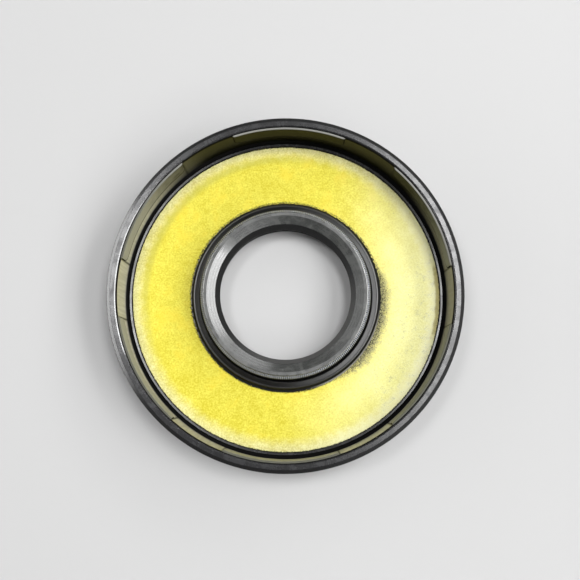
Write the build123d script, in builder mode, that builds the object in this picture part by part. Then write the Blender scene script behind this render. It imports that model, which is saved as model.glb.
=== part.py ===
from build123d import *
import os
from math import cos, radians, sin, tan

# A radial shaft seal: a stamped steel case carried in moulded rubber, with a sealing lip that a
# garter spring closes on the shaft, and a dust lip behind it.
# Sizes are in millimetres. The axis is Z, the back face lies on z = 0 and the spring side is up.

# What the seal fits
shaft_diameter = 32.0
housing_diameter = 80.0
seal_width = 12.0

# How much the free seal is oversize for its press fits, on the diameter
lip_interference = 1.7
dust_lip_interference = 0.5
housing_interference = 0.25

# The stamped case, a wall and an inward flange of one sheet
sheet_thickness = 1.2
bend_radius = 0.6
flange_grip = 1.2

# The rubber round the case
seat_rubber = 1.08
back_rubber = 0.5
rim_rubber = 1.0
lead_in_height = 1.6
lead_in_depth = 0.55
rim_chamfer_height = 0.5
rim_chamfer_depth = 0.6

# The moulded pads inside the wall, with windows of bare wall between them
pad_count = 6
window_angle = 20.0
pad_thickness = 0.42
pad_height = 6.1
pad_drop = 0.35
pad_corner_radius = 1.8
pad_top_round = 0.25
lining_thickness = 0.15

# The ring moulded into the corner of the case: a crest, a groove and a skirt over the bend
crest_width = 0.3
crest_height = 0.7
crest_draft = 0.08
groove_width = 0.93
groove_floor = 0.1
skirt_draft = 0.1
skirt_cover = 0.05

# The bead that grips the inner edge of the flange, and the slot inside it
bead_width = 1.55
bead_height = 1.6
bead_fall = 0.5
bead_draft = 0.35
slot_width = 0.8
slot_floor = 0.2

# The sealing lip: contact band, steep throat, funnel and top land on the oil side
lip_height = 5.5
contact_band = 0.3
throat_run = 1.0
throat_angle = 57.0
funnel_run = 1.9
funnel_angle = 30.0
land_width = 0.9

# The air side of the lip, down to the cavity ahead of the dust lip
air_face_run = 1.45
air_face_angle = 57.0
cavity_depth = 2.4
cavity_shoulder = 0.5

# The garter spring, and the groove that holds it under the hook of the head
coil_diameter = 2.0
spring_clearance = 0.03
spring_cover = 0.18
hook_thickness = 0.85
hook_angle = 75.0
heel_angle = 65.0

# The flexing web, drawn in to a waist under the spring
waist_inset = 0.35
waist_drop = 2.35
bead_gap = 1.25

# The dust lip
dust_lip_height = 0.9
dust_lip_edge = 0.3
dust_lip_rise = 0.6
back_bore_gap = 1.05

# Edge radii of the moulding
crisp_edge = 0.1
soft_edge = 0.25
web_bend = 0.8

# The case, worked in from the seat
seat_radius = (housing_diameter + housing_interference) / 2
case_radius = seat_radius - seat_rubber
wall_radius = case_radius - sheet_thickness
flange_top = back_rubber + sheet_thickness
wall_top = seal_width - rim_rubber

# The lip, worked out from the shaft
lip_radius = (shaft_diameter - lip_interference) / 2
dust_lip_radius = (shaft_diameter - dust_lip_interference) / 2
lip_top = lip_height + contact_band / 2
lip_bottom = lip_height - contact_band / 2
throat_radius = lip_radius + throat_run
throat_top = lip_top + throat_run * tan(radians(throat_angle))
land_radius = throat_radius + funnel_run
head_top = throat_top + funnel_run * tan(radians(funnel_angle))
head_radius = land_radius + land_width
air_face_radius = lip_radius + air_face_run
air_face_bottom = lip_bottom - air_face_run * tan(radians(air_face_angle))

# The spring and its groove
spring_radius = head_radius - spring_cover
spring_height = head_top - hook_thickness - coil_diameter / 2
groove_radius = coil_diameter / 2 + spring_clearance
hook_radius = spring_radius + groove_radius * cos(radians(hook_angle))
hook_height = spring_height + groove_radius * sin(radians(hook_angle))
heel_radius = spring_radius + groove_radius * cos(radians(heel_angle))
heel_height = spring_height - groove_radius * sin(radians(heel_angle))
waist_radius = spring_radius - waist_inset
waist_height = spring_height - waist_drop

# The bead, and the bore behind the lip
bead_inner_radius = head_radius + bead_gap
bead_outer_radius = bead_inner_radius + bead_width
bead_foot_radius = bead_outer_radius + bead_draft
bead_top = flange_top + bead_height
slot_inner_radius = bead_inner_radius - slot_width
slot_bottom = flange_top + slot_floor
flange_bore_radius = bead_foot_radius - flange_grip
cavity_radius = lip_radius + cavity_depth
cavity_top = air_face_bottom - cavity_shoulder
cavity_corner = dust_lip_height + dust_lip_edge / 2 + dust_lip_rise
back_bore_radius = cavity_radius + back_bore_gap

# The pads and the corner ring
pad_angle = 360 / pad_count - window_angle
pad_radius = wall_radius - pad_thickness
pad_top = seal_width - pad_drop
lining_radius = wall_radius - lining_thickness
groove_outer_radius = lining_radius - skirt_draft
crest_outer_radius = groove_outer_radius - groove_width
crest_inner_radius = crest_outer_radius - crest_width
groove_bottom = flange_top + groove_floor
skirt_top = flange_top + bend_radius + skirt_cover


def rounded_line(*corners, closed=False):
    """Draw a run of lines through corners given as radius, height and edge radius."""
    points = [(radius, height) for radius, height, _ in corners]
    edges = [edge for _, _, edge in corners]
    FilletPolyline(*points, radius=edges if closed else edges[1:-1], close=closed)


# The case is an L of sheet, bent once and turned about the axis
with BuildSketch(Plane.XZ) as case_section:
    with BuildLine():
        rounded_line(
            (flange_bore_radius, back_rubber, 0),
            (case_radius, back_rubber, bend_radius + sheet_thickness),
            (case_radius, wall_top, 0),
            (wall_radius, wall_top, 0),
            (wall_radius, flange_top, bend_radius),
            (flange_bore_radius, flange_top, 0),
            closed=True,
        )
    make_face()

with BuildPart() as metal_case:
    add(case_section.sketch)
    revolve(axis=Axis.Z)

# One pad with the thin lining that runs down from it to the corner ring
with BuildPart() as wall_pad:
    with BuildSketch(Plane.XZ):
        with Locations((pad_radius, pad_top)):
            Rectangle(pad_thickness, pad_height, align=(Align.MIN, Align.MAX))
    revolve(axis=Axis.Z, revolution_arc=pad_angle)
    lower_face = wall_pad.faces().sort_by(Axis.Z)[0]
    end_edges = lower_face.edges().filter_by(GeomType.LINE)
    fillet(end_edges, pad_corner_radius)
    upper_face = wall_pad.faces().sort_by(Axis.Z)[-1]
    inner_edge = upper_face.edges().filter_by(GeomType.CIRCLE).sort_by(SortBy.RADIUS)[0]
    fillet(inner_edge, pad_top_round)
    with BuildSketch(Plane.XZ):
        with Locations((lining_radius, pad_top)):
            Rectangle(lining_thickness, pad_top - flange_top, align=(Align.MIN, Align.MAX))
    revolve(axis=Axis.Z, revolution_arc=pad_angle)

# The rubber is one moulding. Its section is drawn solid, from the back bore out to the seat,
# over the rim, down the wall, over the bead and the web to the spring groove, round the head,
# through the throat and back past the dust lip. The case is cut out of it at the end.
with BuildPart() as rubber_body:
    with BuildSketch(Plane.XZ):
        with BuildLine():
            rounded_line(
                (back_bore_radius, 0, 0),
                (seat_radius - lead_in_depth, 0, soft_edge),
                (seat_radius, lead_in_height, soft_edge),
                (seat_radius, seal_width - rim_chamfer_height, crisp_edge),
                (seat_radius - rim_chamfer_depth, seal_width, crisp_edge),
                (wall_radius, seal_width, crisp_edge),
                (wall_radius, flange_top, 0),
                (bead_foot_radius, flange_top, 0),
                (bead_outer_radius, bead_top - bead_fall, soft_edge),
                (bead_inner_radius, bead_top, crisp_edge),
                (bead_inner_radius, slot_bottom, soft_edge),
                (slot_inner_radius, slot_bottom, soft_edge),
                (waist_radius, waist_height, web_bend),
                (heel_radius, heel_height, 0),
            )
            CenterArc(
                (spring_radius, spring_height),
                groove_radius,
                start_angle=hook_angle,
                arc_size=360 - hook_angle - heel_angle,
            )
            rounded_line(
                (hook_radius, hook_height, 0),
                (head_radius, head_top, soft_edge),
                (land_radius, head_top, soft_edge),
                (throat_radius, throat_top, 0),
                (lip_radius, lip_top, 0),
                (lip_radius, lip_bottom, 0),
                (air_face_radius, air_face_bottom, soft_edge),
                (cavity_radius, cavity_top, soft_edge),
                (cavity_radius, cavity_corner, soft_edge),
                (dust_lip_radius, dust_lip_height + dust_lip_edge / 2, crisp_edge),
                (dust_lip_radius, dust_lip_height - dust_lip_edge / 2, crisp_edge),
                (back_bore_radius, 0, 0),
            )
        make_face()
    revolve(axis=Axis.Z)
    with PolarLocations(0, pad_count, start_angle=window_angle / 2):
        add(wall_pad.part)
    with BuildSketch(Plane.XZ):
        with BuildLine():
            rounded_line(
                (wall_radius, flange_top, 0),
                (crest_inner_radius - crest_draft, flange_top, 0),
                (crest_inner_radius, flange_top + crest_height, crisp_edge),
                (crest_outer_radius, flange_top + crest_height, crisp_edge),
                (crest_outer_radius, groove_bottom, crisp_edge),
                (groove_outer_radius, groove_bottom, crisp_edge),
                (lining_radius, skirt_top, 0),
                (wall_radius, skirt_top + lining_thickness, 0),
                closed=True,
            )
        make_face()
    revolve(axis=Axis.Z)
    add(metal_case.part, mode=Mode.SUBTRACT)

# The garter spring is a close-wound coil, its ends screwed together into a ring
with BuildPart() as garter_spring:
    with BuildSketch(Plane.XZ):
        with Locations((spring_radius, spring_height)):
            Circle(coil_diameter / 2)
    revolve(axis=Axis.Z)

rubber_body.part.label = "rubber_body"
metal_case.part.label = "metal_case"
garter_spring.part.label = "garter_spring"

os.makedirs("parts", exist_ok=True)
for piece in (rubber_body, metal_case, garter_spring):
    export_step(piece.part, f"parts/{piece.part.label}.step")
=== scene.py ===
# %% [markdown]
# # A radial shaft seal
# A shaft seal keeps oil in and dirt out where a turning shaft leaves its housing. This one is a
# stamped steel case carried in black moulded rubber. A soft lip runs on the shaft, and a garter
# spring, a close-wound coil closed into a ring, presses the lip on it. We look down on the spring
# side, into a recess whose floor is the yellow coated flange of the case.
#
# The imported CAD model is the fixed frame. Everything below is in metres, in that frame: the axis
# is Z, the back of the seal lies on z = 0 and the spring side is up.

# %% Load the frame
import math
import bmesh
import bpy
import numpy as np
from mathutils import Matrix, Vector, noise


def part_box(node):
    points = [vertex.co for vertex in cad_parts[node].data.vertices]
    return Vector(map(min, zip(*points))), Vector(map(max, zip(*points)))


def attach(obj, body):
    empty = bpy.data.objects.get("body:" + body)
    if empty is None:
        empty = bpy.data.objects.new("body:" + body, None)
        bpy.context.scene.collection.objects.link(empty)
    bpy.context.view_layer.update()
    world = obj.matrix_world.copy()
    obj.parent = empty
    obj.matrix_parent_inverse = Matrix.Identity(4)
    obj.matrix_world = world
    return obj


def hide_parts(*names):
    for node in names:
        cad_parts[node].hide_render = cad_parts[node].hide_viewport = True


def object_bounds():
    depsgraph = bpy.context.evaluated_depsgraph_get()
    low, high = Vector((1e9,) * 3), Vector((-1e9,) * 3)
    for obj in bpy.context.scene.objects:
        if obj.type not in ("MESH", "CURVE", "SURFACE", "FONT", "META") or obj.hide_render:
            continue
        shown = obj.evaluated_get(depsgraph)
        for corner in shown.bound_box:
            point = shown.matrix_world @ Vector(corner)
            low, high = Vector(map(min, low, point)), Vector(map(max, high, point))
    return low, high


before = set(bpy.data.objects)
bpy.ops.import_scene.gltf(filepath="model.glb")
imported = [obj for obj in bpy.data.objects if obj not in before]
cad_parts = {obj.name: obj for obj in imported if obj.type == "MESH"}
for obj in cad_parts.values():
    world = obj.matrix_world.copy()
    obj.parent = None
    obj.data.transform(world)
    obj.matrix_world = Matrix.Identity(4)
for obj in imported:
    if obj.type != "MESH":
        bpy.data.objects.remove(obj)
cad_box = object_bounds()
mm = 0.001
print("CAD box:", [round(edge / mm, 3) for corner in cad_box for edge in corner], "mm")

# %% [markdown]
# ## Sizes
# The outer sizes come from the CAD nodes, so the looks can't drift from the construction. The
# rest is the moulding's own section, given as a maker would give it: radii and heights in
# millimetres, with `mm` turning them into Blender's metres.

# %% Sizes of the case and the spring, read from the frame
case_low, case_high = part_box("metal_case")
spring_low, spring_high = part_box("garter_spring")
seat_radius = cad_box[1].x
seal_width = cad_box[1].z
case_radius = case_high.x
back_rubber = case_low.z
wall_top = case_high.z
coil_radius = (spring_high.z - spring_low.z) / 2
spring_radius = spring_high.x - coil_radius
spring_height = (spring_high.z + spring_low.z) / 2
print("spring ring:", round(spring_radius / mm, 3), "mm radius at", round(spring_height / mm, 3), "mm")

# %% Sizes of the case's sheet and of the rim
sheet_thickness = 1.2 * mm
bend_radius = 0.6 * mm
wall_radius = case_radius - sheet_thickness
flange_top = back_rubber + sheet_thickness
lead_in_height, lead_in_depth = 1.6 * mm, 0.55 * mm
rim_chamfer_height, rim_chamfer_depth = 0.5 * mm, 0.85 * mm
rim_step = 0.22 * mm
inner_chamfer_width, inner_chamfer_height = 0.24 * mm, 0.12 * mm
crisp_edge, soft_edge, web_bend = 0.1 * mm, 0.25 * mm, 0.8 * mm
film = 0.04 * mm
sunk = 0.02 * mm
print("recess:", round(wall_radius / mm, 3), "mm radius over a flange at", round(flange_top / mm, 3), "mm")

# %% Sizes of the lip and its head
head_radius, head_top, head_edge = 18.95 * mm, 8.287 * mm, 0.2 * mm
land_radius, land_fall = 18.05 * mm, 0.05 * mm
throat_radius, throat_top = 16.15 * mm, 7.19 * mm
lip_radius, lip_top, lip_bottom = 15.15 * mm, 5.65 * mm, 5.35 * mm
air_face_radius, air_face_bottom = 16.6 * mm, 3.117 * mm
cavity_radius, cavity_top, cavity_corner = 17.55 * mm, 2.617 * mm, 1.65 * mm
dust_lip_radius, dust_lip_top, dust_lip_bottom = 15.75 * mm, 1.05 * mm, 0.75 * mm
back_bore_radius = 18.6 * mm
waist_radius, waist_height = 18.42 * mm, 4.087 * mm
groove_radius, groove_steps = coil_radius + 0.03 * mm, 22
hook_angle, heel_angle = math.radians(75), math.radians(65)
print("free lip:", round(2 * lip_radius / mm, 2), "mm across")

# %% Sizes of the bead that grips the flange
bead_inner_radius, bead_top = 20.2 * mm, 3.3 * mm
bead_outer_radius, bead_fall = 21.7 * mm, 0.45 * mm
bead_foot_radius = 22.1 * mm
bead_slope = bead_fall / (bead_outer_radius - bead_inner_radius)
bead_edge_width, bead_edge_fall = 0.22 * mm, 0.06 * mm
ridge_width, ridge_height, ridge_edge = 0.3 * mm, 0.1 * mm, 0.09 * mm
slot_inner_radius, slot_bottom = 19.4 * mm, 1.9 * mm
flange_bore_radius = 20.9 * mm
print("bead:", round((bead_outer_radius - bead_inner_radius) / mm, 2), "mm wide")

# %% Sizes of the pads that line the wall
pad_count = 6
window_angle = math.radians(20)
pad_angle = math.tau / pad_count - window_angle
pad_top = seal_width - 0.35 * mm
pad_thickness, pad_height, pad_corner_radius = 0.42 * mm, 5.5 * mm, 1.8 * mm
pad_top_round, pad_end_slope, pad_end_outline = 0.25 * mm, 0.9 * mm, 0.12 * mm
pad_end_drop = 0.8 * pad_thickness
pad_bevel_height, pad_bevel_depth = 0.8 * mm, 0.14 * mm
print("pads:", pad_count, "of", round(math.degrees(pad_angle)), "degrees")

# %% [markdown]
# ## Outlines and the lathe
# Every moulded form here is turned about one axis, so one helper rounds the corners of a section
# and another turns the section into a closed mesh. A rounded corner is a run of short chords.
# Just before and after it stands a guard point: smooth shading blends normals across each face,
# and without guards a long flat face would look bent from end to end.

# %% Round the corners of a section
ARC_STEP = math.radians(18)
GUARD = 0.04 * mm


def plain(radius, height):
    """A point of an outline that needs no rounding, such as one on an arc."""
    return (radius, height, None)


def arc(radius, height, size, start, end, steps):
    """Points along an arc round a centre given as radius and height."""
    angles = np.linspace(start, end, steps + 1)
    return [plain(radius + size * math.cos(a), height + size * math.sin(a)) for a in angles]


def rounded(corners):
    """Turn corners (radius, height, edge radius) into outline points with round edges."""
    points = []
    for before, corner, after in zip(corners[-1:] + corners[:-1], corners, corners[1:] + corners[:1]):
        here = Vector(corner[:2])
        edge = corner[2]
        if edge is None:
            points.append(here)
            continue
        back = (Vector(before[:2]) - here).normalized()
        ahead = (Vector(after[:2]) - here).normalized()
        half = back.angle(ahead) / 2
        reach = edge / math.tan(half)
        start, end = here + back * reach, here + ahead * reach
        points.append(start + back * GUARD)
        points.append(start)
        if edge:
            centre = here + (back + ahead).normalized() * (edge / math.sin(half))
            spoke = start - centre
            turn = math.copysign(math.pi - 2 * half, spoke.cross(end - centre))
            steps = max(2, math.ceil(abs(turn) / ARC_STEP))
            for step in range(1, steps):
                points.append(centre + Matrix.Rotation(turn * step / steps, 2) @ spoke)
            points.append(end)
        points.append(end + ahead * GUARD)
    return points


# %% Turn an outline about the axis
SEGMENTS = 512
SHARP = math.radians(25)


def smooth(mesh):
    """Shade a mesh smooth, and keep its sharp edges sharp."""
    mesh.shade_smooth()
    mesh.set_sharp_from_angle(angle=SHARP)


def closed_ring(name, sections):
    """Join each section to the next, all the way round, into one closed mesh."""
    count = len(sections[0])
    faces = []
    for number in range(len(sections)):
        here, there = number * count, (number + 1) % len(sections) * count
        for point in range(count):
            ahead = (point + 1) % count
            faces.append((here + point, here + ahead, there + ahead, there + point))
    mesh = bpy.data.meshes.new(name)
    mesh.from_pydata([point for section in sections for point in section], [], faces)
    work = bmesh.new()
    work.from_mesh(mesh)
    bmesh.ops.recalc_face_normals(work, faces=work.faces)
    work.to_mesh(mesh)
    work.free()
    smooth(mesh)
    piece = bpy.data.objects.new(name, mesh)
    bpy.context.collection.objects.link(piece)
    print(name, "-", count, "points in the section,", len(faces), "faces")
    return piece


def lathe(name, corners):
    """Turn an outline about Z."""
    outline = np.array(rounded(corners))
    angles = np.linspace(0, math.tau, SEGMENTS, endpoint=False)
    sections = [[(r * math.cos(a), r * math.sin(a), z) for r, z in outline] for a in angles]
    return closed_ring(name, sections)


# %% [markdown]
# ## The rubber body
# The rubber is one moulding: it wraps the case, grips the flange with a bead, and thins to a web
# that carries the head with the lip and the spring groove. It could be built form by form and
# joined, but a moulding has no joints to show, so one outline runs up the outside, over the rim,
# down inside the case and back along the bore.

# %% The rubber body
rubber_section = [
    (back_bore_radius, 0, 0),
    (seat_radius - lead_in_depth, 0, soft_edge),
    (seat_radius, lead_in_height, soft_edge),
    (seat_radius, seal_width - rim_chamfer_height, crisp_edge),
    (seat_radius - rim_chamfer_depth, seal_width, crisp_edge),
    (wall_radius + rim_step + inner_chamfer_width, seal_width, crisp_edge / 2),
    (wall_radius + rim_step, seal_width - inner_chamfer_height, crisp_edge / 2),
    (wall_radius, pad_top - film, 0),
    (wall_radius, wall_top, 0),
    (case_radius, wall_top, 0),
    (case_radius, back_rubber, bend_radius + sheet_thickness),
    (flange_bore_radius, back_rubber, 0),
    (flange_bore_radius, flange_top, 0),
    (bead_foot_radius, flange_top, 0),
    (bead_outer_radius, bead_top - bead_fall, ridge_edge),
    (bead_outer_radius - ridge_width, bead_top - bead_fall + ridge_height / 2, ridge_edge),
    (bead_outer_radius - ridge_width - ridge_edge, bead_top - bead_fall - ridge_height / 2, 0),
    (bead_inner_radius + bead_edge_width, bead_top - bead_edge_width * bead_slope, crisp_edge / 2),
    (bead_inner_radius, bead_top - bead_edge_width * bead_slope - bead_edge_fall, crisp_edge),
    (bead_inner_radius, slot_bottom, soft_edge),
    (slot_inner_radius, slot_bottom, soft_edge),
    (waist_radius, waist_height, web_bend),
    *arc(spring_radius, spring_height, groove_radius, math.tau - heel_angle, hook_angle, groove_steps),
    (head_radius, head_top, head_edge),
    (land_radius, head_top - land_fall, 0),
    (throat_radius, throat_top, 0),
    (lip_radius, lip_top, 0),
    (lip_radius, lip_bottom, 0),
    (air_face_radius, air_face_bottom, soft_edge),
    (cavity_radius, cavity_top, soft_edge),
    (cavity_radius, cavity_corner, soft_edge),
    (dust_lip_radius, dust_lip_top, crisp_edge),
    (dust_lip_radius, dust_lip_bottom, crisp_edge),
]
rubber_body = lathe("seal_rubber", rubber_section)

# %% [markdown]
# ## The corner ring
# Where the wall meets the flange, the mould left a narrow crest, a groove behind it, and a thin
# skirt that climbs over the bend of the case. It is a ring of its own here, because the case's
# yellow flange parts it from the rest of the rubber that we see.

# %% The corner ring
skirt_thickness = 0.1 * mm
skirt_start, skirt_end, skirt_steps = math.radians(-85), math.radians(-35), 8
crest_inner_radius, crest_width, crest_height = 36.4 * mm, 0.5 * mm, 0.7 * mm
crest_fall, crest_draft = 0.145 * mm, 0.06 * mm
groove_bottom = flange_top + skirt_thickness
bend_centre = wall_radius - bend_radius, flange_top + bend_radius
skirt_top = bend_centre[1] - bend_radius * 0.35

corner_section = [
    (wall_radius + sunk, flange_top - sunk, 0),
    (crest_inner_radius - crest_draft, flange_top - sunk, 0),
    (crest_inner_radius, flange_top + crest_height - crest_fall, crisp_edge / 2),
    (crest_inner_radius + crest_width, flange_top + crest_height, crisp_edge / 2),
    (crest_inner_radius + crest_width + crest_draft, groove_bottom, crisp_edge),
    *arc(*bend_centre, bend_radius - skirt_thickness, skirt_start, skirt_end, skirt_steps),
    (wall_radius + sunk, skirt_top, 0),
]
corner_ring = lathe("corner_ring", corner_section)

# %% [markdown]
# ## The case
# The case is an L of sheet steel, bent once. Its wall and flange are coated, and both show: the
# flange as the yellow floor of the recess, and the wall through the windows between the pads. A
# plane and a tube would do for what shows, but the whole L keeps the sheet's bend and thickness.

# %% The case
case_section = [
    (flange_bore_radius, back_rubber, 0),
    (case_radius, back_rubber, bend_radius + sheet_thickness),
    (case_radius, wall_top, 0),
    (wall_radius, wall_top, 0),
    (wall_radius, flange_top, bend_radius),
    (flange_bore_radius, flange_top, 0),
]
case = lathe("coated_case", case_section)

# %% [markdown]
# ## Flash
# Rubber creeps between mould and steel, and tears when the seal is pulled out. It leaves a paper
# thin film with a ragged edge at both ends of the yellow flange. A fractal noise, read at points
# round a circle, makes an edge that closes on itself.

# %% Flash on the flange
TEAR_STEPS = 2880
tear_dimension, tear_lacunarity, tear_octaves = 0.7, 2.1, 5
flank_slope = (bead_foot_radius - bead_outer_radius) / (bead_top - bead_fall - flange_top)
flank_top = bead_top - bead_fall - soft_edge
flank_radius = bead_outer_radius + soft_edge * flank_slope + film


def flash(name, root_radius, root_height, torn_radius, depth, tear_size, lean):
    """A film from its root down to the flange and along it, its torn edge off centre by a lean."""
    side = math.copysign(1, torn_radius - root_radius)
    low, top = flange_top - sunk, flange_top + film
    sections = []
    for step in range(TEAR_STEPS):
        angle = math.tau * step / TEAR_STEPS
        spoke = Vector((math.cos(angle), math.sin(angle), 0))
        place = spoke * torn_radius / tear_size
        tear = noise.fractal(place, tear_dimension, tear_lacunarity, tear_octaves) * depth
        edge = torn_radius + side * tear + spoke.y * lean
        outline = (
            (root_radius - side * film, root_height),
            (root_radius, root_height),
            (root_radius + side * (root_height - top) * flank_slope + side * film, top),
            (edge - side * film, top),
            (edge, low),
            (root_radius - side * film, low),
        )
        sections.append([(spoke.x * r, spoke.y * r, z) for r, z in outline])
    return closed_ring(name, sections)


bead_flash = flash(
    "bead_flash", flank_radius, flank_top,
    torn_radius=bead_foot_radius + 0.4 * mm, depth=0.15 * mm, tear_size=0.4 * mm, lean=-0.14 * mm,
)
crest_flash = flash(
    "crest_flash", crest_inner_radius, flange_top + 2 * film,
    torn_radius=crest_inner_radius - 0.16 * mm, depth=0.1 * mm, tear_size=0.35 * mm, lean=0,
)

# %% [markdown]
# ## Node trees written as Python
# Materials and Geometry Nodes are both trees of nodes. A small class wraps the output of a node,
# so that sums on wires read as sums, and one method adds any other node.

# %% Sums on wires
class Wire:
    """The output of a node. Operators on wires add Math nodes to their tree."""

    def __init__(self, bench, socket):
        self.bench = bench
        self.socket = socket

    def _math(self, operation, *values):
        return self.bench.node("ShaderNodeMath", {"operation": operation}, dict(enumerate(values)))

    def __add__(self, other):
        return self._math("ADD", self, other)

    def __sub__(self, other):
        return self._math("SUBTRACT", self, other)

    def __rsub__(self, other):
        return self._math("SUBTRACT", other, self)

    def __mul__(self, other):
        return self._math("MULTIPLY", self, other)

    def __truediv__(self, other):
        return self._math("DIVIDE", self, other)

    def __pow__(self, other):
        return self._math("POWER", self, other)

    __radd__ = __add__
    __rmul__ = __mul__


# %% A bench to build a tree on
class Bench:
    """A node tree to build on."""

    def __init__(self, tree):
        self.tree = tree

    def node(self, kind, settings=None, sockets=None, out=0):
        """Add a node, its settings first and then its sockets, and return the wires named by out."""
        node = self.tree.nodes.new(kind)
        for key, value in (settings or {}).items():
            setattr(node, key, value)
        for key, value in (sockets or {}).items():
            if isinstance(value, Wire):
                self.tree.links.new(value.socket, node.inputs[key])
            else:
                node.inputs[key].default_value = value
        if out is None:
            return None
        if isinstance(out, tuple):
            return tuple(Wire(self, node.outputs[name]) for name in out)
        return Wire(self, node.outputs[out])

    def mix(self, factor, low, high):
        """Blend two colours."""
        return self.node("ShaderNodeMix", {"data_type": "RGBA"}, {0: factor, 6: low, 7: high}, out=2)

    def fade(self, value, start, end):
        """Go smoothly from 0 at start to 1 at end."""
        ends = {"Value": value, "From Min": start, "From Max": end}
        return self.node("ShaderNodeMapRange", {"interpolation_type": "SMOOTHSTEP"}, ends)

    def band(self, value, rise, fall):
        """Go smoothly from 0 to 1 over the range of the rise, and back to 0 over that of the fall."""
        return self.fade(value, *rise) * (1 - self.fade(value, *fall))

    def noise(self, position, size, detail=2.0, roughness=0.5, distortion=0.0):
        """Soft noise from 0 to 1, with features of about the given size."""
        sockets = {"Vector": position, "Scale": 1 / size, "Detail": detail}
        sockets |= {"Roughness": roughness, "Distortion": distortion}
        return self.node("ShaderNodeTexNoise", None, sockets, out="Fac")


# %% [markdown]
# ## Geometry Nodes trees
# Each tree is a small machine with named dials. Its inputs are made from a table of names and
# values, and the modifier is set by each socket's identifier, since two sockets may share a name.

# %% Run a Geometry Nodes tree and keep its mesh
def grown(name, mesh, dials, build):
    """Run a tree on a mesh and return the result as a plain mesh object."""
    tree = bpy.data.node_groups.new(name, "GeometryNodeTree")
    tree.interface.new_socket("Geometry", in_out="INPUT", socket_type="NodeSocketGeometry")
    tree.interface.new_socket("Geometry", in_out="OUTPUT", socket_type="NodeSocketGeometry")
    identifiers = {}
    for dial, value in dials.items():
        kind = {int: "NodeSocketInt", float: "NodeSocketFloat"}.get(type(value), "NodeSocketMaterial")
        socket = tree.interface.new_socket(dial, in_out="INPUT", socket_type=kind)
        identifiers[dial] = socket.identifier
    bench = Bench(tree)
    wires = bench.node("NodeGroupInput", out=("Geometry", *dials))
    result = build(bench, *wires)
    bench.node("NodeGroupOutput", sockets={"Geometry": result}, out=None)

    source = bpy.data.objects.new(name + "_source", mesh)
    bpy.context.collection.objects.link(source)
    modifier = source.modifiers.new(name, "NODES")
    modifier.node_group = tree
    for dial, value in dials.items():
        modifier[identifiers[dial]] = value
    ready = source.evaluated_get(bpy.context.evaluated_depsgraph_get())
    made = bpy.data.meshes.new_from_object(ready)
    bpy.data.objects.remove(source)
    piece = bpy.data.objects.new(name, made)
    bpy.context.collection.objects.link(piece)
    print(name, "-", len(made.polygons), "faces")
    return piece


# %% [markdown]
# ## Finishes
# A finish is a Principled shader fed by a few masks. Wear isn't even round a seal, so many masks
# fade with the direction from the axis: `toward` gives that as a cosine, with the azimuth in
# degrees from X. The others fade with the radius or the height, or come from noise. Patterns read
# Object coordinates, so they stay put on each piece, whatever its mesh.

# %% Start and close a material
def rgb(red, green, blue):
    """A linear colour as a socket takes it."""
    return (red, green, blue, 1)


def new_material(name):
    """Make a material with an empty tree, and return it with its bench."""
    material = bpy.data.materials.new(name)
    material.use_nodes = True
    material.node_tree.nodes.clear()
    return material, Bench(material.node_tree)


def finish_material(bench, sockets):
    """Close a material with one Principled shader."""
    shader = bench.node("ShaderNodeBsdfPrincipled", None, sockets, out="BSDF")
    bench.node("ShaderNodeOutputMaterial", None, {"Surface": shader}, out=None)


# %% Where a shading point lies on the ring
class Place:
    """A shading point: its position, its parts, and its distance from the axis."""

    def __init__(self, bench):
        self.position = bench.node("ShaderNodeTexCoord", out="Object")
        parts = bench.node("ShaderNodeSeparateXYZ", None, {"Vector": self.position}, out=("X", "Y", "Z"))
        self.x, self.y, self.height = parts
        self.radius = (self.x * self.x + self.y * self.y) ** 0.5

    def toward(self, azimuth):
        """The cosine of the angle between the point and an azimuth, seen from the axis."""
        angle = math.radians(azimuth)
        return (self.x * math.cos(angle) + self.y * math.sin(angle)) / self.radius


# %% Specks and roughness that more than one finish has
SPECK_EDGE = 0.01
PALE_DUST, GREY_DUST = rgb(0.5, 0.5, 0.48), rgb(0.5, 0.5, 0.45)


def specks(bench, position, spacing, size, share):
    """Small round spots: one in each cell of a given spacing, in a given share of the cells."""
    cells = {"Vector": position, "Scale": 1 / spacing}
    distance, colour = bench.node("ShaderNodeTexVoronoi", None, cells, out=("Distance", "Color"))
    chosen = bench.node("ShaderNodeSeparateColor", None, {"Color": colour}, out="Red")
    spot = 1 - bench.fade(distance, 0.5 * size / spacing, size / spacing)
    return spot * bench.fade(chosen, 1 - share, 1 - share + SPECK_EDGE)


def roughened(bench, grain, strength, depth=0.03 * mm):
    """The surface's normal with a fine grain pressed into it."""
    bump = {"Height": grain, "Strength": strength, "Distance": depth}
    return bench.node("ShaderNodeBump", None, bump, out="Normal")


# %% [markdown]
# ## Satin rubber
# The head and the rim were moulded against polished steel, and fingers have smudged them since.
# One even gloss would look like new plastic. So smudges of 3 mm vary the colour and the gloss, and
# on the head, fine rings show where its mould was turned. A clear coat carries the gloss, since
# that keeps the rubber under it dark. One place on the rim is scuffed dull.

# %% Satin rubber
head_inside = throat_radius - 0.05 * mm, throat_radius + 0.15 * mm
head_outside = head_radius + 0.05 * mm, head_radius + 0.15 * mm
edge_radius = wall_radius + rim_step + inner_chamfer_width
edge_inside, edge_outside = (wall_radius - film, wall_radius), (edge_radius, edge_radius + film)
scuff_azimuth, scuff_edge = -142, (0.972, 0.98)


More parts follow.
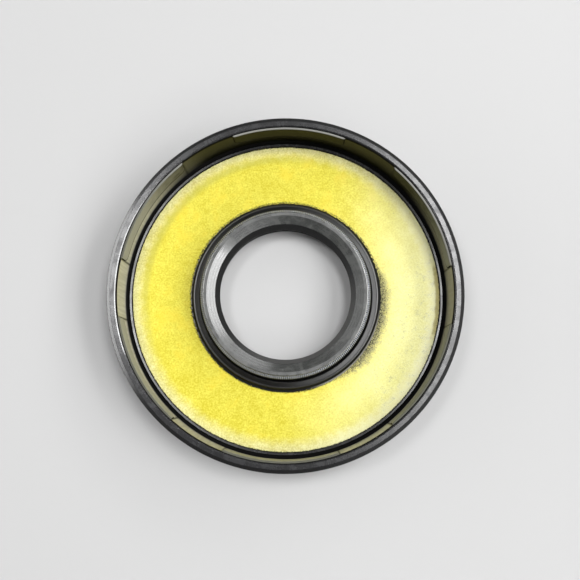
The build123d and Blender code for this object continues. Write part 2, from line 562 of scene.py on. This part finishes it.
def make_satin_rubber():
    """Polished rubber: smudges, a fine grain, turned rings on the head, and a little pale dust."""
    material, bench = new_material("satin_rubber")
    place = Place(bench)
    on_head = bench.band(place.radius, head_inside, head_outside)
    on_edge = bench.band(place.radius, edge_inside, edge_outside)
    smears = bench.noise(place.position, 3 * mm, detail=7.0, roughness=0.6, distortion=0.6)
    grain = bench.noise(place.position, 0.2 * mm, detail=3.0)
    smudge = bench.fade(smears, 0.4, 0.7) * 0.8 + bench.fade(grain, 0.35, 0.65) * 0.2
    across = bench.node("ShaderNodeCombineXYZ", None, {"X": place.radius})
    rings = bench.fade(bench.noise(across, 0.3 * mm, detail=2.0), 0.4, 0.6) * on_head
    fine_dust = specks(bench, place.position, 1.5 * mm, 0.08 * mm, 0.12)
    dust = fine_dust + specks(bench, place.position, 4 * mm, 0.16 * mm, 0.12)
    ragged = bench.fade(grain * 0.4 + smudge * 0.6, 0.2, 0.8) * 0.02
    scuffed = bench.fade(place.toward(scuff_azimuth) + ragged, *scuff_edge) * (1 - on_head)

    handled = bench.mix(smudge, rgb(0.045, 0.047, 0.045), rgb(0.105, 0.108, 0.103))
    moulded = bench.mix(smudge, rgb(0.013, 0.013, 0.014), rgb(0.03, 0.03, 0.032))
    gloss = (on_head + on_edge) * 0.85 + 0.15 + smudge * -0.15
    finish_material(bench, {
        "Base Color": bench.mix(dust, bench.mix(on_head, moulded, handled), PALE_DUST),
        "Roughness": smudge * 0.08 + 0.24 + dust * 0.4 + rings * 0.06,
        "Specular IOR Level": 0.5,
        "Coat Weight": gloss * (1 - scuffed * 0.9) * (1 - rings * 0.25),
        "Coat Roughness": 0.17,
        "Coat IOR": 2.1,
        "Normal": roughened(bench, grain, 0.12, depth=0.02 * mm),
    })
    return material


satin = make_satin_rubber()
print("finish:", satin.name)

# %% [markdown]
# ## Matt rubber
# The seat came off a blasted mould, and the lip and the bead are bare black rubber. The trench
# beside the bead was never polished, and its rubber is made blacker and rougher still as painted
# shade; that black also paints the shade in the step under the rim, the groove of the corner ring
# and the feet and ends of the pads. They differ only in how black and how rough they are, so one
# maker takes those as numbers. The lip has a lighter side, a painted highlight where light grazes it.

# %% Matt rubber
def make_matt_rubber(name, dark, light, roughness, specular, painted_light_side=None):
    """Rubber with no polish: a fine uneven grain, a little dust, and maybe a side lighter with painted
    light.
    """
    material, bench = new_material(name)
    place = Place(bench)
    grain = bench.noise(place.position, 0.25 * mm, detail=3.0)
    cloud = bench.noise(place.position, 2 * mm, detail=4.0)
    dust = specks(bench, place.position, 3 * mm, 0.14 * mm, 0.12)
    colour = bench.mix(cloud * 0.7 + grain * 0.3, dark, light)
    # Painted highlight: towards an azimuth the colour turns lighter, as if light grazed that side.
    if painted_light_side:
        azimuth, painted_highlight = painted_light_side
        colour = bench.mix(bench.fade(place.toward(azimuth), 0.0, 0.8), colour, painted_highlight)
    finish_material(bench, {
        "Base Color": bench.mix(dust, colour, GREY_DUST),
        "Roughness": cloud * 0.1 + roughness,
        "Specular IOR Level": specular,
        "Normal": roughened(bench, grain, 0.3),
    })
    return material


matt = make_matt_rubber(
    "matt_rubber", rgb(0.006, 0.006, 0.006), rgb(0.016, 0.016, 0.016), roughness=0.55, specular=0.3
)
# Painted shade: the blackest, roughest rubber goes in the hollows, where shade falls.
dull_and_shaded = make_matt_rubber(
    "dull_and_shaded_rubber", rgb(0.002, 0.002, 0.002), rgb(0.006, 0.006, 0.0055), roughness=0.8, specular=0.1
)
# The lip's lighter side is a painted highlight.
lip_black = make_matt_rubber(
    "lip_rubber", rgb(0.002, 0.002, 0.002), rgb(0.007, 0.007, 0.007), roughness=0.45, specular=0.35,
    painted_light_side=(-60, rgb(0.06, 0.06, 0.058)),
)
bead_black = make_matt_rubber(
    "bead_rubber", rgb(0.003, 0.003, 0.003), rgb(0.008, 0.008, 0.008), roughness=0.27, specular=1.0
)
print("finishes:", [material.name for material in (matt, dull_and_shaded, lip_black, bead_black)])

# %% [markdown]
# ## Rubbed rubber
# The chamfer round the outside is matt like the seat, but one side of it has been polished by
# hands and shelves. A clear coat that fades in toward that side does it without a second colour.

# %% Rubbed rubber
handled_azimuth = 171


def make_rubbed_rubber():
    """Matt rubber of the outer chamfer, polished on the side that it was handled by."""
    material, bench = new_material("rubbed_rubber")
    place = Place(bench)
    grain = bench.noise(place.position, 0.25 * mm, detail=3.0)
    finish_material(bench, {
        "Base Color": rgb(0.01, 0.01, 0.01),
        "Roughness": 0.5,
        "Specular IOR Level": 0.3,
        "Coat Weight": bench.fade(place.toward(handled_azimuth), 0.6, 0.9),
        "Coat Roughness": 0.25,
        "Coat IOR": 2.1,
        "Normal": roughened(bench, grain, 0.2),
    })
    return material


rubbed = make_rubbed_rubber()
print("finish:", rubbed.name)

# %% [markdown]
# ## Torn film
# Where the flash tore, it left a ragged edge. A painted highlight along that edge shows as a thin
# broken light line beside the black bead, on the two sides that face the lights. The film is one
# mesh, so the mask does the breaking.

# %% Torn film
film_highlight_azimuth, patchy_highlight_azimuth = -40, 170
torn_edge = bead_foot_radius + 0.1 * mm, bead_foot_radius + 0.2 * mm


def make_film_rubber():
    """The torn film round the bead: unpolished black, with a painted highlight along its edge on two
    sides.
    """
    material, bench = new_material("film_rubber")
    place = Place(bench)
    patches = bench.fade(bench.noise(place.position, 0.6 * mm, detail=4.0), 0.4, 0.6)
    highlight_side = bench.fade(place.toward(film_highlight_azimuth), 0.8, 0.95)
    patchy_highlight_side = bench.fade(place.toward(patchy_highlight_azimuth), 0.6, 0.9)
    on_edge = bench.fade(place.radius, *torn_edge)
    # Painted highlight: the torn edge turns light on two sides only.
    painted_highlight = on_edge * (highlight_side * 0.9 + patchy_highlight_side * patches)
    finish_material(bench, {
        "Base Color": bench.mix(painted_highlight, rgb(0.004, 0.004, 0.004), rgb(0.24, 0.23, 0.20)),
        "Roughness": 0.7,
        "Specular IOR Level": 0.2,
    })
    return material


film_grey = make_film_rubber()
print("finish:", film_grey.name)

# %% [markdown]
# ## Bloomed rubber
# Sulphur creeps out of old rubber and leaves a whitish bloom. On the pads it is greyish olive, and
# painted light and shade sit in that colour: it darkens on one side and goes nearly black on
# another as painted shade, and their flat tops carry a painted highlight, lighter on one side. It
# is a dusty layer, so it changes the colour and hardly shines.

# %% Bloomed rubber
half_shade_azimuth, deep_shade_azimuth, ledge_highlight_azimuth = -4, 82, 78
ledge_highlight_zone = pad_top - 0.2 * mm, pad_top - 0.05 * mm


def make_bloomed_rubber():
    """Rubber with a sulphur bloom: greyish olive, with painted shade on two sides and a painted highlight
    on the flat tops.
    """
    material, bench = new_material("bloom_and_painted_light_rubber")
    place = Place(bench)
    grain = bench.noise(place.position, 0.25 * mm, detail=3.0)
    cloud = bench.noise(place.position, 2 * mm, detail=4.0)
    bloom = bench.mix(cloud * 0.7 + grain * 0.3, rgb(0.25, 0.25, 0.215), rgb(0.37, 0.37, 0.34))
    # Painted shade: the bloom darkens on one side and goes nearly black on another.
    half_shade_side = bench.fade(place.toward(half_shade_azimuth), 0.45, 0.8)
    bloom = bench.mix(half_shade_side * 0.55, bloom, rgb(0.05, 0.05, 0.03))
    deep_shade = bench.fade(place.toward(deep_shade_azimuth) + (cloud - 0.5) * 0.3, 0.3, 0.8)
    face = bench.mix(deep_shade, bloom, rgb(0.004, 0.004, 0.0015))
    # Painted highlight on the flat tops, lighter on one side.
    ledge_highlight_side = bench.fade(place.toward(ledge_highlight_azimuth), 0.1, 0.7)
    ledge_highlight = bench.mix(ledge_highlight_side, rgb(0.11, 0.11, 0.085), rgb(0.25, 0.25, 0.23))
    finish_material(bench, {
        "Base Color": bench.mix(bench.fade(place.height, *ledge_highlight_zone), face, ledge_highlight),
        "Roughness": cloud * 0.1 + 0.5,
        "Specular IOR Level": 0.15,
        "Normal": roughened(bench, grain, 0.3),
    })
    return material


bloom_and_painted_light = make_bloomed_rubber()
print("finish:", bloom_and_painted_light.name)

# %% [markdown]
# ## The yellow coat
# The flange has a sprayed coat that helps rubber bond to steel. It is grainy, and its clear coat
# shines on one side. Its lighter rim is painted glare, and on the shining side the colour is
# lighter still, a painted sheen. Paint this thin has no form to model, and a painted image would
# show its pixels. So noise of three sizes makes the grain, the clouds and the blotches, and masks
# lay on what came later: an olive band, a smear of crumbs by the bead and specks of dirt. One more
# mask lays a brown band by the crest on one side.

# %% The yellow flange
sheen_azimuth, sheen_zone = -12, (22 * mm, 28 * mm)
margin_zone, margin_wander = (32.5 * mm, 36 * mm), 2 * mm
olive_azimuth, olive_rise, olive_fall = 140, (31.8 * mm, 33.2 * mm), (33.4 * mm, 34.6 * mm)


def yellow_coat(bench, place, grain, cloud, blotch, sheen_side):
    """Grainy yellow, lighter on one side as painted sheen, with a light margin at the rim that is painted
    glare, and an olive band inside it.
    """
    tone = bench.fade(grain * 0.64 + cloud * 0.16 + blotch * 0.2, 0.36, 0.64)
    yellow = bench.mix(tone, rgb(0.62, 0.515, 0.019), rgb(0.88, 0.82, 0.12))
    yellow = bench.mix(bench.fade(blotch, 0.48, 0.7) * 0.5, yellow, rgb(0.83, 0.635, 0.03))
    # Painted sheen: the yellow turns lighter towards one side.
    sheen = sheen_side * bench.fade(place.radius, *sheen_zone)
    yellow = bench.mix(sheen, yellow, bench.mix(tone, rgb(0.83, 0.79, 0.19), rgb(1.0, 0.98, 0.33)))
    # Painted glare: the rim of the flange is lighter, and lighter still on the sheen side.
    painted_highlight = bench.mix(tone, rgb(0.60, 0.55, 0.18), rgb(0.90, 0.86, 0.42))
    painted_highlight = bench.mix(sheen_side, painted_highlight, bench.mix(tone, rgb(1.0, 0.96, 0.46), rgb(1.0, 1.0, 0.60)))
    margin = bench.fade(place.radius + (cloud - 0.5) * margin_wander, *margin_zone)
    olive_side = bench.fade(place.toward(olive_azimuth), 0.2, 0.9)
    olive = bench.band(place.radius, olive_rise, olive_fall) * olive_side * 0.5
    return bench.mix(olive, bench.mix(margin, yellow, painted_highlight), rgb(0.5, 0.46, 0.07))


# %% The marks on the flange
smear_azimuth, smear_reach = -18, 2.4 * mm
smear_start, smear_end = bead_foot_radius + 0.5 * mm, bead_foot_radius + 1.1 * mm
crest_dirt_zone = crest_inner_radius - 0.6 * mm, crest_inner_radius
brown_band_azimuth, brown_band_wander = -1, 0.8 * mm
brown_band_zone = crest_inner_radius - 1.3 * mm, crest_inner_radius - 0.8 * mm


def marked(bench, place, cloud, flange):
    """Lay the smear, the brown band and the dirt on the flange. Return its colour and where it is clean.
    """
    smear_side = bench.fade(place.toward(smear_azimuth), 0.72, 0.95)
    near_bead = 1 - bench.fade(place.radius, smear_start, smear_side * smear_reach + smear_end)
    near_crest = bench.fade(place.radius, *crest_dirt_zone)
    crumbs = bench.noise(place.position, 0.16 * mm, detail=2.0)
    smear = bench.fade(crumbs * 0.5 + cloud * 0.5 + near_bead * 0.35, 0.5, 0.8) * smear_side
    # A brown band just inside the crest, on one side only.
    brown_band_side = bench.fade(place.toward(brown_band_azimuth) + (cloud - 0.5) * 0.06, 0.955, 0.985)
    tint = bench.fade(place.radius + (cloud - 0.5) * brown_band_wander, *brown_band_zone) * brown_band_side
    torn = bench.fade(crumbs + (near_bead + near_crest) * 0.3, 0.76, 0.82)
    dots = specks(bench, place.position, 1.1 * mm, 0.1 * mm, 0.1)
    dirt = bench.node("ShaderNodeMath", {"operation": "MAXIMUM"}, {0: torn, 1: dots * 0.7})

    colour = bench.mix(smear * 0.9, flange, rgb(0.30, 0.285, 0.16))
    colour = bench.mix(tint * 0.6, colour, rgb(0.42, 0.33, 0.08))
    colour = bench.mix(dirt, colour, rgb(0.03, 0.028, 0.01))
    return colour, (1 - dirt) * (1 - smear) * (1 - tint)


# %% [markdown]
# ## The drawn wall
# Drawing the case pulled the yellow off its wall and left grey steel with upright streaks. Noise
# on a point whose height is squeezed draws those. Painted shade darkens the wall on two sides and
# low down by the bend, and the steel is darker in a thin line beside each pad end. The pads repeat,
# so the angle round the axis, folded by ping-pong, gives the distance from the middle of the nearest
# window, and one band of it draws the dark line at all twelve ends.

# %% The drawn wall
STREAK_SQUEEZE = 0.06
wall_shade_azimuth = 4
dark_line_inner, dark_line_outer = math.radians(0.1), math.radians(0.6)
bend_shade = flange_top + 0.2 * mm, flange_top + 1.3 * mm


def drawn_steel(bench, place):
    """Grey steel with upright streaks, painted shade on two sides and low by the bend, and a dark line by
    the pads.
    """
    squeezed = {"X": place.x, "Y": place.y, "Z": place.height * STREAK_SQUEEZE}
    streak_place = bench.node("ShaderNodeCombineXYZ", None, squeezed)
    streaks = bench.noise(streak_place, 0.5 * mm, detail=3.0)
    steel = bench.mix(bench.fade(streaks, 0.35, 0.65), rgb(0.41, 0.40, 0.33), rgb(0.50, 0.49, 0.42))
    # Painted shade: the wall darkens on this side.
    wall_shade_side = bench.fade(place.toward(wall_shade_azimuth), 0.7, 0.95)
    steel = bench.mix(wall_shade_side * 0.6, steel, rgb(0.10, 0.09, 0.05))

    angle = bench.node("ShaderNodeMath", {"operation": "ARCTAN2"}, {0: place.y, 1: place.x})
    half_spacing = math.pi / pad_count
    to_window = bench.node("ShaderNodeMath", {"operation": "PINGPONG"}, {0: angle, 1: half_spacing})
    pad_end = window_angle / 2
    window_side = pad_end - dark_line_outer, pad_end - dark_line_inner
    pad_side = pad_end + dark_line_inner, pad_end + dark_line_outer
    # A thin darker line beside each pad end.
    beside_pad = bench.band(to_window, window_side, pad_side)
    steel = bench.mix(beside_pad * 0.85, steel, rgb(0.02, 0.018, 0.008))
    # Painted shade: on this side the wall goes nearly black.
    deep_shade_side = bench.fade(place.toward(deep_shade_azimuth), 0.3, 0.8)
    steel = bench.mix(deep_shade_side, steel, rgb(0.004, 0.004, 0.001))
    # Painted shade: the wall darkens to near black low down by the bend.
    return bench.mix(bench.fade(place.height, *bend_shade), rgb(0.01, 0.01, 0.008), steel)


# %% The coat of the case
wall_start = flange_top + 0.005 * mm, flange_top + 0.02 * mm


def make_coat():
    """The case's finish: the marked yellow coat on the flange, and drawn steel on the wall."""
    material, bench = new_material("case_coat")
    place = Place(bench)
    grain = bench.noise(place.position, 0.42 * mm, detail=4.0, roughness=0.75)
    cloud = bench.noise(place.position, 1.6 * mm, detail=3.0)
    blotch = bench.noise(place.position, 6 * mm, detail=5.0, roughness=0.6)
    # Painted sheen: this side is lighter in colour, and only here does the clear coat shine.
    sheen_side = bench.fade(place.toward(sheen_azimuth) + (blotch - 0.5) * 0.4, 0.1, 1.1)
    flange = yellow_coat(bench, place, grain, cloud, blotch, sheen_side)
    flange, clean = marked(bench, place, cloud, flange)
    wall = bench.fade(place.height, *wall_start)
    finish_material(bench, {
        "Base Color": bench.mix(wall, flange, drawn_steel(bench, place)),
        "Roughness": 0.45,
        "Specular IOR Level": 0.15,
        "Coat Weight": (1 - wall) * sheen_side * clean,
        "Coat Roughness": 0.42,
        "Coat IOR": 1.75,
        "Normal": roughened(bench, grain, 0.35),
    })
    return material


coat = make_coat()
print("finish:", coat.name)

# %% [markdown]
# ## Drawn spring wire
# Each turn of the spring is steel on top and painted black lower down, a painted shade, which is
# what parts the turns to the eye. Two materials would need the faces of each turn sorted. One mask
# on the height above the coil's middle tells the painted shade from steel on all the turns at once.

# %% Drawn spring wire
unshaded_start, unshaded_end = spring_height + coil_radius * 0.35, spring_height + coil_radius * 0.7


def make_wire():
    """Drawn steel wire: oily on top of the coil, and black below as painted shade."""
    material, bench = new_material("spring_wire")
    place = Place(bench)
    tint = bench.noise(place.position, 1.5 * mm, detail=4.0)
    # Painted shade: below the coil's upper part the wire is black, rough and without coat.
    unshaded_top = bench.fade(place.height, unshaded_start, unshaded_end)
    steel = bench.mix(tint, rgb(0.33, 0.345, 0.38), rgb(0.56, 0.58, 0.63))
    finish_material(bench, {
        "Base Color": bench.mix(unshaded_top, rgb(0.006, 0.006, 0.005), steel),
        "Metallic": unshaded_top * 0.4,
        "Roughness": 0.9 - unshaded_top * 0.62,
        "Specular IOR Level": 0.2,
        "Coat Weight": unshaded_top,
        "Coat Roughness": 0.15,
    })
    return material


wire = make_wire()
print("finish:", wire.name)

# %% [markdown]
# ## The wall pads
# Six pads of rubber line the wall, with windows of bare coated wall between them. Their round
# lower corners and thinning ends can't come off the lathe, and cuts in a tube would leave uneven
# faces. So one pad is made column by column, and Geometry Nodes set copies of it round the axis.

# %% One pad
PAD_COLUMNS = 96


def round_off(distance, size):
    """How far a round corner of the given radius drops back at a distance from its end."""
    inset = max(0.0, size - distance)
    return size - math.sqrt(size**2 - inset**2)


def pad_mesh():
    """One pad, bent round the wall: round lower corners, and a bevel along its foot and ends in black
    painted shade.
    """
    radius = wall_radius - pad_thickness
    width = pad_angle * radius
    pad = bmesh.new()
    loops, feet = [], []
    for column in range(PAD_COLUMNS + 1):
        along = width * (0.5 - 0.5 * math.cos(math.pi * column / PAD_COLUMNS))
        to_end = min(along, width - along)
        foot = pad_top - pad_height + round_off(to_end, pad_corner_radius)
        face_radius = radius + round_off(to_end, pad_end_slope) * (pad_end_drop / pad_end_slope)
        bevel = min(pad_bevel_depth, wall_radius - face_radius)
        angle = along / radius
        section = rounded([
            (wall_radius + sunk, foot, 0),
            (face_radius + bevel, foot, 0),
            (face_radius, foot + pad_bevel_height, 0),
            (face_radius, pad_top, pad_top_round),
            (wall_radius + sunk, pad_top, 0),
        ])
        loops.append([pad.verts.new((r * math.cos(angle), r * math.sin(angle), z)) for r, z in section])
        # Faces below the bevel's top, and at the ends, take the second finish: black that paints the shade
        # there.
        feet.append(foot + pad_bevel_height if to_end > pad_end_outline else pad_top - pad_top_round)
    for here, there, foot in zip(loops, loops[1:], map(max, feet, feet[1:])):
        for k in range(len(here)):
            following = (k + 1) % len(here)
            face = pad.faces.new((here[k], here[following], there[following], there[k]))
            face.material_index = int(face.calc_center_median().z < foot)
    for end in (loops[0], list(reversed(loops[-1]))):
        pad.faces.new(end).material_index = 1
    bmesh.ops.recalc_face_normals(pad, faces=pad.faces)
    mesh = bpy.data.meshes.new("pad")
    pad.to_mesh(mesh)
    pad.free()
    smooth(mesh)
    mesh.materials.append(bloom_and_painted_light)
    mesh.materials.append(dull_and_shaded)
    return mesh


# %% Six pads round the wall
def set_round(bench, geometry, count, first):
    """Copy the geometry round the axis. Its two finishes come with it."""
    points = bench.node("GeometryNodePoints", None, {"Count": count})
    index = bench.node("GeometryNodeInputIndex")
    turn = bench.node("ShaderNodeCombineXYZ", None, {"Z": index * math.tau / count + first})
    sockets = {"Points": points, "Instance": geometry, "Rotation": turn}
    copies = bench.node("GeometryNodeInstanceOnPoints", None, sockets)
    return bench.node("GeometryNodeRealizeInstances", None, {"Geometry": copies})


pads = grown(
    "wall_pads",
    pad_mesh(),
    {"Count": pad_count, "First angle": window_angle / 2},
    set_round,
)

# %% [markdown]
# ## The garter spring
# The spring is wire wound close, turn on turn, and closed into a ring. A helix whose axis is
# itself a circle needs one formula, so a curve with a point for each small step of the wire is
# bent by that formula and swept with the wire's round section.

# %% A coil bent into a ring
def sine(bench, angle):
    """The sine of a wire."""
    return bench.node("ShaderNodeMath", {"operation": "SINE"}, {0: angle})


def cosine(bench, angle):
    """The cosine of a wire."""
    return bench.node("ShaderNodeMath", {"operation": "COSINE"}, {0: angle})


def ring_curve(bench, points, radius):
    """A circle with a given number of points."""
    return bench.node("GeometryNodeCurvePrimitiveCircle", None, {"Resolution": points, "Radius": radius})


def wind(bench, geometry, ring_radius, ring_height, mean_radius, thickness, turns, steps, sides, finish):
    """Wind a wire into a coil whose axis is a ring."""
    line = ring_curve(bench, turns * steps, ring_radius)
    index = bench.node("GeometryNodeInputIndex")
    along = index / (turns * steps) * math.tau
    phase = index / steps * math.tau
    out = ring_radius + mean_radius * cosine(bench, phase)
    up = ring_height + mean_radius * sine(bench, phase)
    sockets = {"X": out * cosine(bench, along), "Y": out * sine(bench, along), "Z": up}
    place = bench.node("ShaderNodeCombineXYZ", None, sockets)
    coil = bench.node("GeometryNodeSetPosition", None, {"Geometry": line, "Position": place})
    section = ring_curve(bench, sides, thickness / 2)
    swept = bench.node("GeometryNodeCurveToMesh", None, {"Curve": coil, "Profile Curve": section})
    real = bench.node("GeometryNodeRealizeInstances", None, {"Geometry": swept})
    return bench.node("GeometryNodeSetMaterial", None, {"Geometry": real, "Material": finish})


# %% The garter spring
wire_diameter = 0.34 * mm

spring = grown(
    "spring_coil",
    bpy.data.meshes.new("empty"),
    {
        "Ring radius": spring_radius,
        "Ring height": spring_height,
        "Mean radius": coil_radius - wire_diameter / 2,
        "Wire diameter": wire_diameter,
        "Turns": 278,
        "Steps per turn": 16,
        "Wire sides": 8,
        "Finish": wire,
    },
    wind,
)
spring.data.shade_smooth()

# %% [markdown]
# ## Putting it together
# The rubber body is one mesh with several finishes, because polish, wear and the mould's own
# surface change along its section. Each face knows its radius and height, so one rule can choose
# its finish, and no face is picked by hand. Then each piece is hung on the root body, and the CAD
# node that it stands for is hidden.

# %% Give each piece its finishes
def body_finish(radius, height):
    """The rubber body is satin, with a matt seat and chamfer, and black painted shade in the trench and
    the step under the rim, where nothing rubs it.
    """
    in_trench = waist_radius - soft_edge < radius < bead_foot_radius + film
    if in_trench and flange_top < height < bead_top - bead_fall - soft_edge:
        return dull_and_shaded
    in_step = wall_radius - film < radius < wall_radius + rim_step
    if in_step and wall_top < height < seal_width - inner_chamfer_height - film:
        return dull_and_shaded
    if radius < throat_radius:
        return lip_black
    if bead_inner_radius - film < radius < bead_foot_radius:
        return bead_black
    if radius > seat_radius - rim_chamfer_depth:
        return rubbed if height > seal_width - rim_chamfer_height + film else matt
    return satin


def corner_finish(radius, height):
    """The corner ring has a satin crest, and a groove and skirt in black painted shade."""
    crest_foot = flange_top + crest_height - crest_fall - film
    on_crest = radius < crest_inner_radius + crest_width and height > crest_foot
    return satin if on_crest else dull_and_shaded


def finish_faces(piece, choose):
    """Give each face of a piece the finish that belongs to its place."""
    finishes = list(piece.data.materials)
    for face in piece.data.polygons:
        finish = choose(math.hypot(face.center.x, face.center.y), face.center.z)
        if finish not in finishes:
            finishes.append(finish)
            piece.data.materials.append(finish)
        face.material_index = finishes.index(finish)
    print(piece.name, "-", [finish.name for finish in finishes])


finish_faces(rubber_body, body_finish)
finish_faces(corner_ring, corner_finish)
for piece, finish in ((bead_flash, film_grey), (crest_flash, dull_and_shaded), (case, coat)):
    piece.data.materials.append(finish)

# %% Hang each piece on its body and hide the CAD node that it stands for
for piece, node, slot in (
    (rubber_body, "rubber_body", "rubber"),
    (corner_ring, "rubber_body", "rubber"),
    (bead_flash, "rubber_body", "rubber"),
    (crest_flash, "rubber_body", "rubber"),
    (pads, "rubber_body", "rubber"),
    (case, "metal_case", "coated_steel"),
    (spring, "garter_spring", "spring_steel"),
):
    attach(piece, "root")
    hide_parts(node)
    print(piece.name, "stands for", node)

# %% [markdown]
# ## The studio
# Black rubber shows itself by what it mirrors, so the lights matter as much as the finishes. Each
# glossy band of the seal leans its own way and mirrors its own part of the room: the cone of the
# head a row of windows, the bead the sky above them, and the flat rim panels overhead. Small hard
# lamps would leave points on it. Wide soft ones leave the long even lights that rubber has.

# %% The floor
FLOOR_REACH = 3.0


def make_floor():
    """A plain pale floor under the seal."""
    reach = FLOOR_REACH
    corners = [(-reach, -reach, 0), (reach, -reach, 0), (reach, reach, 0), (-reach, reach, 0)]
    mesh = bpy.data.meshes.new("floor")
    mesh.from_pydata(corners, [], [(0, 1, 2, 3)])
    floor = bpy.data.objects.new("floor", mesh)
    bpy.context.collection.objects.link(floor)
    material, bench = new_material("floor_paper")
    finish_material(bench, {"Base Color": rgb(0.56, 0.56, 0.56), "Roughness": 0.9})
    mesh.materials.append(material)
    return floor


floor = make_floor()
print("floor:", 2 * FLOOR_REACH, "m wide")

# %% Soft lights
LIGHT_DISTANCE = 1.0


def soft_light(name, wide, high, radiance):
    """A soft rectangular light, set by how bright its face looks."""
    light = bpy.data.lights.new(name, "AREA")
    light.shape = "RECTANGLE"
    light.size = wide
    light.size_y = high
    light.energy = radiance * math.pi * wide * high
    lamp = bpy.data.objects.new(name, light)
    bpy.context.collection.objects.link(lamp)
    return lamp


def softbox(name, azimuth, elevation, width, height, radiance):
    """A light that faces the seal from a direction. All its angles are in degrees."""
    wide, high = (2 * LIGHT_DISTANCE * math.tan(math.radians(angle) / 2) for angle in (width, height))
    lamp = soft_light(name, wide, high, radiance)
    a, e = math.radians(azimuth), math.radians(elevation)
    aim = Vector((math.cos(a) * math.cos(e), math.sin(a) * math.cos(e), math.sin(e)))
    lamp.location = aim * LIGHT_DISTANCE
    lamp.rotation_euler = aim.to_track_quat("Z", "Y").to_euler()


def panel(name, x_range, y_range, radiance):
    """A light that lies level above the seal, over a range of x and y in metres."""
    (west, east), (south, north) = x_range, y_range
    lamp = soft_light(name, east - west, north - south, radiance)
    lamp.location = ((west + east) / 2, (south + north) / 2, LIGHT_DISTANCE)


# %% Light the seal
softbox("window", azimuth=59, elevation=28, width=42, height=12, radiance=2.3)
softbox("window_side", azimuth=-4, elevation=39, width=88, height=13, radiance=4.4)
softbox("window_end", azimuth=-62, elevation=38, width=28, height=12, radiance=1.7)
softbox("skylight", azimuth=4, elevation=52, width=40, height=10, radiance=8.5)
softbox("far_wall", azimuth=170, elevation=34, width=90, height=12, radiance=0.6)
softbox("fill", azimuth=178, elevation=13, width=62, height=12, radiance=4.4)
panel("east_panel", (0.13, 0.42), (-0.11, 0.14), radiance=9.0)
panel("north_east_panel", (0.11, 0.39), (0.14, 0.36), radiance=15.5)
panel("west_panel", (-0.50, -0.22), (0.05, 0.32), radiance=13.5)
print("lights:", [lamp.name for lamp in bpy.data.lights])

# %% The dim room round the lights
world = bpy.data.worlds.new("room")
world.use_nodes = True
background = world.node_tree.nodes["Background"]
background.inputs["Color"].default_value = rgb(1, 1, 1)
background.inputs["Strength"].default_value = 0.04
bpy.context.scene.world = world
print("room:", background.inputs["Strength"].default_value)

# %% Camera
camera_data = bpy.data.cameras.new("camera")
camera_data.lens = 47.70
camera_data.sensor_width = 36.0
camera_data.clip_start = 0.01
camera_data.clip_end = 20.0
camera = bpy.data.objects.new("camera", camera_data)
pitch, roll, yaw = 0.12444, 0.01390, math.radians(1.4)
stand = Vector((3.513 * mm, -21.14 * mm, 182.33 * mm))
camera.location = Matrix.Rotation(yaw, 3, "Z") @ stand
camera.rotation_euler = (pitch, roll, yaw)
bpy.context.collection.objects.link(camera)
bpy.context.scene.camera = camera
bpy.context.scene.view_settings.view_transform = "Standard"
print("camera:", round(camera.location.length / mm), "mm from the seal")
